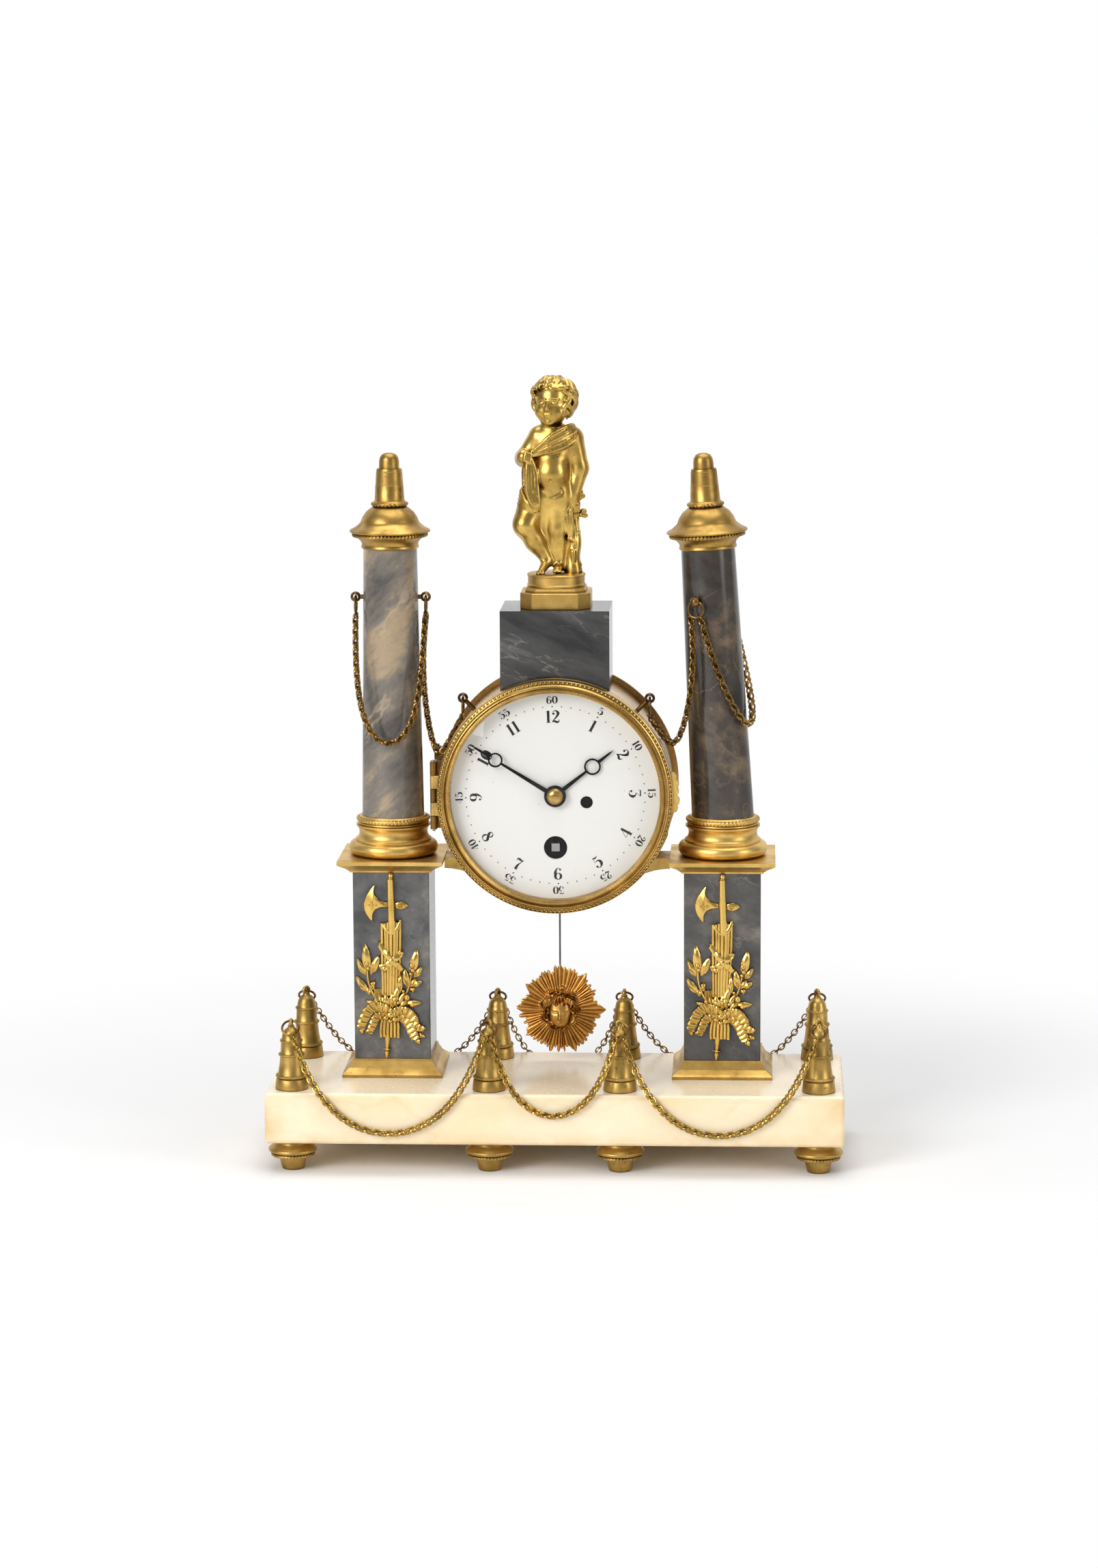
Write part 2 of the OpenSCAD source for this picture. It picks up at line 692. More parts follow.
module column_bases() {
    r = column_base_r;
    top = shaft_r + 1;
    h = column_base_h;
    color("#b48a42") pedestal_places() translate([0, 0, cap_top]) difference() {
        turned(concat([[0, 0], [r - 1.5, 0]], bead(r - 3, 0, 7, 3),
            [[r - 3.8, 7], [r - 3.8, 8.2], [top + 1, 9], [top + 0.4, 11.5], [top + 0.8, h - 6],
                [top + 2, h - 5]],
            bead(top + 0.5, h - 5, h - 1.2, 2), [[top, h - 1.2], [top, h], [0, h]]));
        tie_bore(0, h);
    }
}

module shaft(r) {
    difference() {
        cylinder(r1 = r, r2 = shaft_top_r, h = shaft_h);
        tie_bore(0, shaft_h);
    }
}

module hook_holes(turns) {
    for (a = turns) rotate([0, 0, a]) translate([shaft_r_at(hook_z) - hook_stud_in, 0, hook_z])
        rotate([0, 90, 0])
        cylinder(r = hook_stud_r + rod_fit, h = hook_stud_in + 5);
}

module on_left_column() translate(left_top) children();
module on_right_column() translate(right_top) rotate([0, -right_column_lean, 0]) children();

module left_shaft() {
    color("#7c756c") on_left_column() difference() {
        shaft(shaft_r);
        hook_holes([0, 180]);
    }
}

// the leaning shaft is cut level where it stands
module right_shaft() {
    sink = 2 * shaft_r * sin(right_column_lean);
    color("#7a6a55") difference() {
        on_right_column() difference() {
            union() {
                cylinder(r1 = shaft_r, r2 = shaft_top_r, h = shaft_h);
                translate([0, 0, -sink]) cylinder(r = shaft_r, h = sink);
            }
            translate([0, 0, -sink]) tie_bore(0, shaft_h + sink);
            hook_holes([90 - right_hook_turn, 270 - right_hook_turn]);
        }
        translate(right_top - [2 * shaft_r, 2 * shaft_r, 20]) cube([4 * shaft_r, 4 * shaft_r, 20]);
    }
}

module finial() {
    r = finial_rim_r;
    neck = shaft_top_r;
    h = finial_h;
    difference() {
        turned(concat(
            [[0, 0], [neck + 0.3, 0], [neck + 0.5, 3], [r - 5, 5.5]],
            bead(r - 3.4, 6, 8.2, 1.4),
            [[r - 1, 8.4], [r, 9], [r - 1.2, 10.2], [r - 4.5, 11.2], [r - 8, 13.5], [r - 11, 17.5],
                [r - 13, 22]],
            bead(7.6, 22.4, 25, 1.2),
            [[7.1, 25.2], [5.9, h - 8], [4.5, h - 7.8], [4.4, h - 4], [3.4, h - 1.2], [1.6, h],
                [0, h]]));
        translate([0, 0, -1]) cylinder(r = tie_rod_r + rod_fit, h = 13);
    }
}

module column_finials() {
    color("#b48a42") {
        on_left_column() translate([0, 0, shaft_h]) finial();
        on_right_column() translate([0, 0, shaft_h]) finial();
    }
}

// stud along +X, rooted in the surface at r, with a pierced ball at the end of its neck
module hook(r, neck, root) {
    ball = r + neck + hook_ball_r;
    difference() {
        union() {
            translate([r - root, 0, 0]) rotate([0, 90, 0])
                cylinder(r = hook_stud_r, h = root + neck + hook_ball_r / 2);
            translate([ball, 0, 0]) sphere(hook_ball_r);
        }
        translate([ball, 0, 0]) rotate([90, 0, 0])
            cylinder(r = ring_wire + 0.85, h = 4 * hook_ball_r, center = true);
    }
}

module column_hooks() {
    color("#9c7a3c") {
        on_left_column() translate([0, 0, hook_z]) for (a = [0, 180]) rotate([0, 0, a])
            hook(shaft_r_at(hook_z), column_hook_neck, hook_stud_in - 0.3);
        on_right_column() translate([0, 0, hook_z]) for (a = [90, 270]) rotate([0, 0, a - right_hook_turn])
            hook(shaft_r_at(hook_z), column_hook_neck, hook_stud_in - 0.3);
    }
}

module nut(h) cylinder(r = tie_rod_r + 2.6, h = h, $fn = 6);

module tie_rods() {
    low = foot_h + 1.2;
    color("#8d8a84") {
        // left rod runs from under the base into the finial
        translate([-pedestal_x, pedestal_y, 0]) {
            translate([0, 0, low]) cylinder(r = tie_rod_r, h = shaft_bottom + shaft_h + 11 - low);
            translate([0, 0, low]) nut(4.7);
        }
        // right rod ends in the column base, a second one follows the leaning shaft
        translate([pedestal_x, pedestal_y, 0]) {
            translate([0, 0, low]) cylinder(r = tie_rod_r, h = shaft_bottom - 4 - low);
            translate([0, 0, low]) nut(4.7);
        }
        on_right_column() translate([0, 0, 2]) cylinder(r = tie_rod_r, h = shaft_h + 9);
        // bolt from the drum through the block into the figure's plinth
        translate([0, block_y, dial_z + drum_r - drum_wall - 3.5]) {
            cylinder(r = tie_rod_r, h = block_top + plinth_h - 2 - drum_r + drum_wall + 3.5);
            nut(3);
        }
    }
}

// applied trophy: bundle of rods with an axe, branches, bow and ribbon ends, drawn in (x, z) from its middle
trophy_gap = 2.2;
trophy_l = pedestal_h - 2 * trophy_gap;
// length that the trophy's own figures below are drawn for
trophy_drawn = 97;
bundle_w = 10.6;

module leaf(l, w, a) {
    rotate(a) polygon([for (i = [0 : 9]) let (t = i <= 5 ? i / 5 : (10 - i) / 5)
        [l * t, (i <= 5 ? 1 : -1) * w / 2 * sin(180 * pow(t, 0.8))]]);
}

module trophy() {
    half = trophy_drawn / 2;
    module slab_out(t) along_y(-t, 0) children();
    module bar(w, z0, z1) translate([-w / 2, z0]) square([w, z1 - z0]);
    module in_front() intersection() {
        children();
        translate([-50, -20, -trophy_drawn]) cube([100, 20, 2 * trophy_drawn]);
    }
    // staff, ball and lower finial
    slab_out(2.2) bar(2.4, -half + 6, half - 4);
    in_front() translate([0, -1.6, half - 3]) sphere(3, $fn = 20);
    slab_out(2.4) translate([0, -half + 4]) circle(4, $fn = 20);
    // bundle, as three rods
    in_front() for (i = [-1 : 1]) translate([i * bundle_w / 3, -0.6, -half + 12])
        cylinder(r = bundle_w / 6 + 0.15, h = half + 16, $fn = 14);
    slab_out(3.4) for (z = [-26, -6, 13]) translate([0, z])
        square([bundle_w + 1.6, 2.2], center = true);
    // axe to the left, spike to the right
    slab_out(1.6) polygon([[-1, 32], [-7, 29], [-12.5, 24], [-14.5, 33], [-13, 43], [-7, 39],
        [-1, 38]]);
    slab_out(1.6) polygon([[1, 37.5], [10.5, 35.2], [1, 33]]);
    // two branches of leaves
    for (s = [-1, 1], i = [0 : 6]) slab_out(1.4 + 0.3 * (i % 2))
        translate([s * (6.5 + 6 * sin(12 + 22 * i)), -24 + 7.2 * i])
            leaf(8.5, 3.6, s > 0 ? 68 - 14 * (i % 3) : 112 + 14 * (i % 3));
    // bow and ribbon ends
    slab_out(2) for (s = [-1, 1]) {
        translate([s * 7.5, -30]) rotate(s * 28) square([12, 5], center = true);
        polygon([[s * 2, -30], [s * 10, -34], [s * 18.5, -43], [s * 13, -47], [s * 8, -41],
            [s * 2, -34]]);
    }
}

module place_trophy(s) {
    translate([s * pedestal_x, pedestal_y - pedestal_w / 2, base_top + frame_h + pedestal_h / 2])
        scale(trophy_l / trophy_drawn) trophy();
}

module left_trophy() color("#b48a42") place_trophy(-1);
module right_trophy() color("#b48a42") place_trophy(1);

// Drum, brackets and doors

module drum_case() {
    inner = drum_r - drum_wall;
    color("#a67f3c") difference() {
        at(centre_at) difference() {
            turned_y([[inner, drum_front], [drum_r, drum_front], [drum_r, drum_rear - flange_t],
                [flange_r, drum_rear - flange_t],
                [flange_r, drum_rear], [inner, drum_rear], [inner, dial_back + dial_ring_t + 1.4],
                [inner - 2.4, dial_back + dial_ring_t + 1.4],
                    [inner - 2.4, dial_back + dial_ring_t], [inner, dial_back + dial_ring_t]]);
            for (s = [-1, 1]) rotate([0, s > 0 ? -drum_hook_angle : drum_hook_angle - 180, 0])
                translate([inner - 1, drum_hook_y, 0])
                rotate([0, 90, 0]) cylinder(r = hook_stud_r + rod_fit, h = drum_wall + 2);
        }
        translate([-slot_half, pendulum_y - 4.5, dial_z - drum_r - 2]) cube([2 * slot_half, 9, 14]);
        translate([0, block_y, dial_z + inner - 2])
            cylinder(r = tie_rod_r + rod_fit, h = drum_wall + 4);
    }
}

module drum_brackets() {
    end_x = pedestal_x - cap_w / 2;
    top_z = cap_top - 0.5 - dial_z;
    low_z = cap_bottom + 0.6 - dial_z;
    meet = (drum_r + bracket_t / 2) * [cos(50), -sin(50)];
    y0 = pedestal_y - bracket_w / 2;
    color("#a67f3c") for (s = [0, 1]) at(centre_at) mirror([s, 0, 0])
        along_y(y0, y0 + bracket_w) intersection() {
            difference() {
                union() {
                    circle(drum_r + bracket_t);
                    polygon(concat([[end_x, top_z], [drum_r * 0.6, top_z], [drum_r * 0.5, meet[1]]],
                        [for (t = [0 : 0.2 : 1])
                            [meet[0] + t * (end_x - meet[0]),
                             low_z + (meet[1] - low_z) * (1 - t) * (1 - t)]]));
                }
                circle(drum_r);
            }
            translate([drum_r * 0.48, -drum_r - 10]) square([pedestal_x, drum_r - 14]);
        }
}

module drum_hooks() {
    color("#9c7a3c") for (s = [-1, 1]) translate([0, drum_hook_y, dial_z])
        rotate([0, s > 0 ? -drum_hook_angle : drum_hook_angle - 180, 0])
            hook(drum_r, drum_hook_neck, drum_wall);
}

// five knuckles along Z about the pin: even ones for the frame, odd ones for the door
knuckle_l = hinge_l / 5;
function knuckle_z(i) = -hinge_l / 2 + i * knuckle_l;

module knuckles(list) {
    for (i = list) difference() {
        union() {
            translate([0, 0, knuckle_z(i) + knuckle_gap / 2])
                cylinder(r = knuckle_r, h = knuckle_l - knuckle_gap);
            translate([0, 0, knuckle_z(i) + knuckle_gap / 2]) children();
        }
        translate([0, 0, knuckle_z(i) - 1]) cylinder(r = hinge_pin_r + run_fit, h = knuckle_l + 2);
    }
}

leaf_l = 12;
leaf_t = 1.2;

// fixed leaves: on the drum's left side for the bezel, on the rear flange for the door
module hinge_leaf() {
    color("#9c7a3c") at(centre_at) {
        intersection() {
            difference() {
                rod_y(drum_r + leaf_t, drum_front + 0.2, drum_front + leaf_l);
                rod_y(drum_r, drum_front - 1, drum_front + leaf_l + 1);
            }
            translate([-drum_r - 5, drum_front - 1, -hinge_l / 2]) cube([drum_r, leaf_l + 2, hinge_l]);
        }
        difference() {
            translate([-hinge_x, hinge_y, 0]) knuckles([0, 2, 4])
                linear_extrude(knuckle_l - knuckle_gap) polygon([[-knuckle_r, 0], [knuckle_r - 0.4, 0],
                    [knuckle_r - 0.4, drum_front + 0.2 - hinge_y],
                        [hinge_x - drum_r + 2.5, drum_front + 0.2 - hinge_y],
                    [hinge_x - drum_r + 2.5, drum_front + 3 - hinge_y],
                        [-knuckle_r, drum_front + 3 - hinge_y]]);
            rod_y(drum_r, drum_front, drum_front + leaf_l);
        }
        mirror([1, 0, 0]) difference() {
            translate([rear_hinge_x, rear_hinge_y, 0]) knuckles([0, 2, 4])
                linear_extrude(knuckle_l - knuckle_gap) translate([-5, drum_rear - flange_t -
                    rear_hinge_y])
                    square([5 + knuckle_r, flange_t + door_front - drum_rear + door_t / 2]);
            rod_y(flange_r, drum_rear - flange_t - 1, drum_rear);
            rod_y(door_r + slide_gap, drum_rear - 1, door_front + door_t + 1);
        }
    }
}

module hinge_pins() {
    color("#5c5650") at(centre_at) for (p = [[-hinge_x, hinge_y], [-rear_hinge_x, rear_hinge_y]])
        translate([p[0], p[1], -hinge_l / 2 - 1]) cylinder(r = hinge_pin_r, h = hinge_l + 2);
}

module latch_strap() {
    color("#6b5330") at(centre_at) intersection() {
        difference() {
            rod_y(drum_r + 1.2, drum_front + 0.2, drum_front + 16);
            rod_y(drum_r, drum_front - 1, drum_front + 17);
        }
        translate([0, drum_front - 1, 14]) cube([drum_r + 5, 20, 14]);
    }
}

module rear_cover() {
    strap = rear_hinge_x - door_r + 4;
    color("#a67f3c") at(centre_at) {
        difference() {
            union() {
                turned_y([[0, door_front], [door_r, door_front], [door_r, door_front + door_t],
                    [0, door_front + door_t]]);
                turned_y([[0, door_front], [4, door_front], [4, door_front + 4],
                    [2.5, door_front + 6], [0, door_front + 6]]);
                mirror([1, 0, 0]) translate([rear_hinge_x, rear_hinge_y, 0]) knuckles([1, 3])
                    linear_extrude(knuckle_l - knuckle_gap) translate([-strap, -door_t / 2])
                        square([strap, door_t + 0.6]);
            }
            for (a = [-30 : 15 : 30]) rotate([0, a, 0]) translate([0, 0, 30])
                rod_y(1.6, door_front - 1, door_front + 3);
        }
    }
}

module bezel() {
    r = bezel_r;
    o = bezel_open_r;
    f = bezel_front;
    b = bezel_rear;
    strap = hinge_x - bezel_r + 3.5;
    color("#c29a4a") at(centre_at) {
        difference() {
            turned_y([[o, f + 1.7], [o + 0.9, f + 1.7], [o + 1.6, f + 0.8], [o + 2.4, f + 0.4],
                [o + 3, f], [o + 4.4, f],
                [o + 5, f + 1.2], [r - 0.8, f + 3], [r, f + 5], [r, b], [dial_r + 0.6, b],
                    [dial_r + 0.6, b - 1.2],
                [o - 0.1, b - 1.2], [o - 0.1, glass_edge], [glass_seat_r + 0.1, glass_edge],
                [glass_seat_r + 0.1, glass_edge - 2.2], [o, glass_edge - 2.2]]);
        }
        translate([-hinge_x, hinge_y, 0]) knuckles([1, 3])
            linear_extrude(knuckle_l - knuckle_gap) translate([0, -knuckle_r])
                square([strap, 2 * knuckle_r - 0.6]);
    }
}

module glass() {
    color("#dfe8ea", 0.4) at(centre_at) intersection() {
        difference() {
            translate([0, glass_apex + glass_sphere, 0]) sphere(glass_sphere);
            translate([0, glass_apex + glass_sphere, 0]) sphere(glass_sphere - glass_t);
        }
        rod_y(glass_seat_r, glass_apex - 1, glass_edge);
    }
}

// lobed thumb tab at the right of the bezel, as places up its side with their radii
latch_lobes = [[-6, 1.7], [-2, 2.4], [3, 2], [7, 2.4], [11, 1.7]];

module bezel_latch() {
    color("#c29a4a") at(centre_at) along_y(bezel_rear - 6, bezel_rear - 3) difference() {
        for (p = latch_lobes) translate([sqrt(bezel_r * bezel_r - p[0] * p[0]) + 0.6, p[0]])
            circle(p[1] + 0.4);
        circle(bezel_r, $fn = 360);
    }
}

// Dial and hands

module dial() {
    color("#f6f4ee") at(centre_at) difference() {
        rod_y(dial_r, dial_front, dial_back);
        rod_y(dial_bore, dial_front - 1, dial_back + 1);
        translate([0, 0, -barrel_drop]) rod_y(winding_hole_r, dial_front - 1, dial_back + 1);
        translate([16.5, 0, -3.7]) rod_y(3.3, dial_front - 1, dial_back + 1);
    }
}

ring_inner = 41;
post_ring = 43.5;

module dial_ring() {
    outer = drum_r - drum_wall - rod_fit;
    color("#a67f3c") at(centre_at) {
        turned_y([[ring_inner, dial_back], [outer, dial_back], [outer, dial_back + dial_ring_t],
            [ring_inner, dial_back + dial_ring_t]]);
        for (a = [0 : 90 : 270]) translate([post_ring * cos(a), 0, post_ring * sin(a)])
            rod_y(1.7, dial_back + dial_ring_t - 0.5, plate_front);
    }
}

// pierced hand pointing up: hub, tapering arm, ring and tip
module hand_shape(hub, bore, eye, eye_r, tip) {
    difference() {
        union() {
            circle(hub);
            polygon([[-1.3, 0], [1.3, 0], [0.6, eye - eye_r + 0.5], [-0.6, eye - eye_r + 0.5]]);
            translate([0, eye]) circle(eye_r);
            polygon([[-0.9, eye + eye_r - 0.6], [0.9, eye + eye_r - 0.6], [0.5, tip - 3], [0, tip],
                [-0.5, tip - 3]]);
        }
        circle(bore);
        translate([0, eye]) circle(eye_r - 0.9);
    }
}

module hour_hand() {
    color("#1c1c20") at(centre_at) along_y(hour_hand_y, hour_hand_y + hand_t) rotate(-hour_angle)
        hand_shape(5.4, hour_pipe_r + 0.02, hour_hand_l - 14.4, 4.4, hour_hand_l);
}

module minute_hand() {
    color("#1c1c20") at(centre_at) along_y(minute_hand_y, minute_hand_y + hand_t) rotate(-minute_angle)
        hand_shape(5.8, cannon_r + 0.02, minute_hand_l - 15, 3.9, minute_hand_l);
}

module hand_collet() {
    y = minute_hand_y;
    color("#c79a45") at(centre_at) {
        difference() {
            turned_y([[0, y], [4.4, y], [4.2, y - 0.9], [3.2, y - 1.9], [1.8, y - 2.5], [0, y - 2.7]]);
            rod_y(cannon_r + 0.02, cannon_tip - 0.2, y + 1);
        }
        rotate([0, 12, 0]) translate([-3.3, y - 3.2, 0]) rotate([0, 90, 0]) cylinder(r = 0.55, h = 6.6);
    }
}

// Movement

module cannon_pinion() {
    y = minute_wheel_y;
    color("#b9b4aa") at(centre_at) difference() {
        union() {
            along_y(y - 0.2, y + motion_t + 0.2) pinion_teeth(cannon_n, motion_module);
            rod_y(cannon_r, cannon_tip, y);
        }
        rod_y(cannon_bore, cannon_tip - 1, plate_front);
    }
}

module minute_wheel() {
    y = minute_wheel_y;
    color("#c2a053") at(minute_at) difference() {
        union() {
            along_y(y, y + motion_t) rotate(minute_turn) wheel_teeth(minute_n, motion_module);
            along_y(hour_wheel_y - 0.2, y + 0.1) pinion_teeth(minute_pinion_n, hour_module);
        }
        rod_y(pivot_r + run_fit, hour_wheel_y - 2, plate_front);
    }
}

module hour_wheel() {
    y = hour_wheel_y;
    color("#c2a053") at(centre_at) difference() {
        union() {
            along_y(y, y + motion_t) rotate(hour_turn) wheel_teeth(hour_n, hour_module);
            rod_y(hour_pipe_r, hour_hand_y - 0.1, y + 0.1);
        }
        rod_y(hour_bore, hour_hand_y - 1, y + motion_t + 1);
    }
}

module pivot_holes(list, y0, y1) {
    for (p = list) translate([p[0], 0, p[1]]) rod_y(pivot_r + run_fit, y0 - 1, y1 + 1);
}

pillar_at = [for (a = [-40, 50, 130, 220]) 40 * [cos(a), sin(a)]];

module front_plate() {
    color("#c2a053") at(centre_at) {
        difference() {
            rod_y(plate_r, plate_front, plate_back);
            rod_y(cannon_bore, plate_front - 1, plate_back + 1);
            translate([0, 0, -barrel_drop]) rod_y(winding_square / 2 + 1 + run_fit, plate_front - 1,
                plate_back + 1);
            pivot_holes([intermediate_at, third_at, escape_at, pallet_at], plate_front, plate_back);
            translate([click_at[0], 0, click_at[1]]) rod_y(click_pin_r + run_fit, plate_front - 1,
                plate_back + 1);
        }
        // stud for the minute wheel
        translate([minute_at[0], 0, minute_at[1]])
            rod_y(pivot_r, hour_wheel_y - 0.6, plate_front + 0.2);
    }
}

module back_plate() {
    color("#c2a053") at(centre_at) difference() {
        rod_y(plate_r, rear_plate, rear_plate_back);
        pivot_holes([centre_at, intermediate_at, third_at, escape_at], rear_plate, rear_plate_back);
        translate([0, 0, -barrel_drop]) rod_y(arbor_r + 1 + run_fit, rear_plate - 1, rear_plate_back
            + 1);
        translate([0, 0, pallet_rise]) rod_y(arbor_r + 0.6, rear_plate - 1, rear_plate_back + 1);
    }
}

module pillars() {
    color("#c2a053") at(centre_at) for (p = pillar_at) translate([p[0], 0, p[1]]) {
        rod_y(2.2, plate_back, rear_plate);
        rod_y(2.9, plate_back, plate_back + 2);
        rod_y(2.9, rear_plate - 2, rear_plate);
    }
}

barrel_r = 18;
barrel_y = plate_back + 4;
barrel_h = 13;
barrel_arbor_r = arbor_r + 1;

module barrel() {
    y1 = barrel_y + barrel_h;
    color("#c2a053") at(barrel_at) {
        difference() {
            union() {
                rod_y(barrel_r, barrel_y, y1);
                along_y(y1 - 0.1, y1 + 1.6) rotate(barrel_turn) wheel_teeth(barrel_n, barrel_module);
            }
            rod_y(barrel_r - 1, barrel_y + 1.2, y1);
            rod_y(barrel_arbor_r + run_fit, barrel_y - 1, y1 + 3);
        }
    }
}

// spiral strip between the barrel's wall and the arbor
module mainspring() {
    r0 = barrel_arbor_r + 4;
    strip = 0.45;
    r1 = barrel_r - 1.2 - strip;
    steps = spring_coils * 24;
    function at_turn(i, r) = let (q = i / steps) (r0 + (r1 - r0) * q + r) * [cos(15 * i), sin(15 * i)];
    color("#5d6a78") at(barrel_at) along_y(barrel_y + 1.8, barrel_y + barrel_h - 0.6)
        polygon(concat([for (i = [0 : steps]) at_turn(i, 0)],
            [for (i = [steps : -1 : 0]) at_turn(i, strip)]));
}

ratchet_r = 6.4;
ratchet_n = 24;

module winding_arbor() {
    color("#9a958c") at(barrel_at) {
        rod_y(barrel_arbor_r, plate_back + 1, rear_plate_back - 0.2);
        rod_y(winding_square / 2 + 1, plate_front - 1.2, plate_back + 1);
        along_y(plate_front - 1.2 - wheel_t, plate_front - 1.2)
            polygon([for (i = [0 : ratchet_n - 1], s = [[0, 0.9], [0.15, 0]])
            (ratchet_r - s[1]) * [cos(360 / ratchet_n * (i + s[0])),
                sin(360 / ratchet_n * (i + s[0]))]]);
        along_y(dial_back - 0.8, plate_front - 1) square(winding_square, center = true);
    }
}

click_pin_r = 1;
click_at = barrel_at + 14 * [cos(150), sin(150)];

// click on its own pin, resting just clear of the ratchet's tips
module click() {
    y1 = plate_front - 1.2;
    color("#9a958c") at(click_at) {
        rod_y(click_pin_r, y1 - 0.2, plate_back);
        along_y(y1 - wheel_t, y1) rotate(-30) {
            circle(2.2);
            polygon([[0, 2.2], [5.4, 2.6], [6.6, 1.2], [6, 0.6], [0, -2.2]]);
        }
    }
}

module intermediate_wheel() {
    y1 = barrel_y + barrel_h;
    color("#c2a053") at(intermediate_at) {
        arbor(arbor_r);
        along_y(y1 - 0.4, y1 + 2.2) rotate(intermediate_pinion_turn)
            pinion_teeth(intermediate_pinion_n, barrel_module);
        along_y(y1 + 2.2, y1 + 2.2 + wheel_t) crossed_wheel(intermediate_n, intermediate_module, 3.4);
    }
}

module centre_wheel() {
    y1 = barrel_y + barrel_h + 2.2;
    color("#c2a053") at(centre_at) {
        rod_y(arbor_r, cannon_tip + 0.1, rear_plate - slide_gap);
        rod_y(pivot_r, rear_plate - 1, rear_plate_back - 0.2);
        along_y(y1 - 0.4, y1 + wheel_t + 0.4) rotate(centre_pinion_turn)
            pinion_teeth(centre_pinion_n, intermediate_module);
        along_y(plate_back + 1.4, plate_back + 1.4 + wheel_t) crossed_wheel(centre_n, centre_module, 3);
    }
}

module third_wheel() {
    y = plate_back + 1.4;
    color("#c2a053") at(third_at) {
        arbor(pivot_r);
        along_y(y - 0.4, y + wheel_t + 0.4) rotate(third_pinion_turn)
            pinion_teeth(third_pinion_n, centre_module);
        along_y(plate_back + 8, plate_back + 8 + wheel_t) crossed_wheel(third_n, third_module, 2.6);
    }
}

escape_y = plate_back + 14.5;

module escape_wheel() {
    y = plate_back + 8;
    color("#c2a053") at(escape_at) {
        arbor(pivot_r);
        along_y(y - 0.4, y + wheel_t + 0.4) rotate(escape_pinion_turn)
            pinion_teeth(escape_pinion_n, third_module);
        along_y(escape_y, escape_y + wheel_t) difference() {
            polygon([for (i = [0 : escape_n - 1], s = [[0, 0], [0.12, 0], [0.4, 1.6], [0.85, 1.6]])
                (escape_r - s[1]) * [cos(360 / escape_n * (i + s[0])),
                    sin(360 / escape_n * (i + s[0]))]]);
            for (a = [45 : 90 : 315]) translate([3.3 * cos(a), 3.3 * sin(a)]) circle(1.5);
        }
    }
}

crutch_l = 31;

module pallets_crutch() {
    color("#9a958c") at(pallet_at) {
        rod_y(arbor_r, plate_back + slide_gap, cock_y - 0.2);
        rod_y(pivot_r, plate_front + 0.2, cock_y + cock_t - 0.2);
        // anchor that spans the escape wheel
        along_y(escape_y - 0.4, escape_y + wheel_t + 0.4) {
            circle(2);
            for (s = [-1, 1]) polygon([[0, 1.8], [s * 6, -1.6], [s * 8.2, -6], [s * 6.9, -6.2],
                [s * 5.6, -3.6], [s * 3, -1.6], [0, -1.6]]);
        }
        // crutch with its fork round the pendulum rod
        along_y(rear_plate_back + 1, rear_plate_back + 1.9) {
            circle(2);
            translate([-1, -crutch_l]) square([2, crutch_l]);
        }
        difference() {
            translate([-2.4, rear_plate_back + 1, -crutch_l])
                cube([4.8, pendulum_y + 1.5 - rear_plate_back, 1.6]);
            translate([-rod_r - 0.15, pendulum_y - rod_r - 0.6, -crutch_l - 1])
                cube([2 * rod_r + 0.3, 10, 4]);
        }
    }
}

suspension_w = 3.6;
suspension_t = 0.25;
suspension_up = 5;

module back_cock() {
    color("#c2a053") at(pallet_at) {
        difference() {
            union() {
                along_y(cock_y, cock_y + cock_t) translate([0, 2]) round_rect(26, 14, 3);
                translate([-2.6, cock_y + cock_t - 0.2, 1])
                    cube([5.2, pendulum_y + suspension_w / 2 + 0.4 - cock_y - cock_t, 7]);
            }
            rod_y(pivot_r + run_fit, cock_y - 1, cock_y + cock_t + 0.5);
            translate([-0.5, pendulum_y - suspension_w / 2 - 0.4, 0])
                cube([1, suspension_w + 4, suspension_up + 0.6]);
        }
        for (s = [-1, 1]) translate([s * 9.5, 0, 0]) rod_y(2, rear_plate_back, cock_y);
    }
}

bob_rest = base_top + bob_z;

module pendulum_rod() {
    pivot_z = dial_z + pallet_rise;
    y0 = pendulum_y - suspension_w / 2;
    // suspension spring
    color("#5d6a78") translate([-suspension_t / 2, y0, pivot_z - 6])
        cube([suspension_t, suspension_w, suspension_up + 6]);
    // hook block and rod
    color("#9a7b45") {
        difference() {
            translate([-1.4, y0, pivot_z - 9]) cube([2.8, suspension_w, 4]);
            translate([-suspension_t / 2 - 0.02, y0 - 1, pivot_z - 6.02])
                cube([suspension_t + 0.04, suspension_w + 2, 3]);
        }
        translate([0, pendulum_y, bob_rest + 2]) cylinder(r = rod_r, h = pivot_z - 8.5 - bob_rest - 2);
    }
}

ray_n = 40;

// sun with uneven rays and a domed face on its front
module sun_bob() {
    y = pendulum_y;
    color("#7d5a2c") translate([0, 0, bob_rest]) difference() {
        union() {
            along_y(y - bob_t / 2, y + bob_t / 2) polygon([for (i = [0 : ray_n - 1], s = [0, 1])
                (s == 0 ? ray_r * (0.9 + 0.1 * sin(137 * i)) : ray_r * 0.56) *
                    [cos(360 / ray_n * (i + s / 2)), sin(360 / ray_n * (i + s / 2))]]);
            intersection() {
                translate([0, y + 8, 0]) sphere(13);
                translate([-20, y - 6, -20]) cube([40, 6, 40]);
            }
            for (i = [0 : 9]) rotate([0, 36 * i, 0]) translate([0, y - 1.6, 9.2]) sphere(2, $fn = 20);
        }
        translate([0, y, -1]) cylinder(r = rod_r + 0.02, h = ray_r + 5);
    }
}

// Top

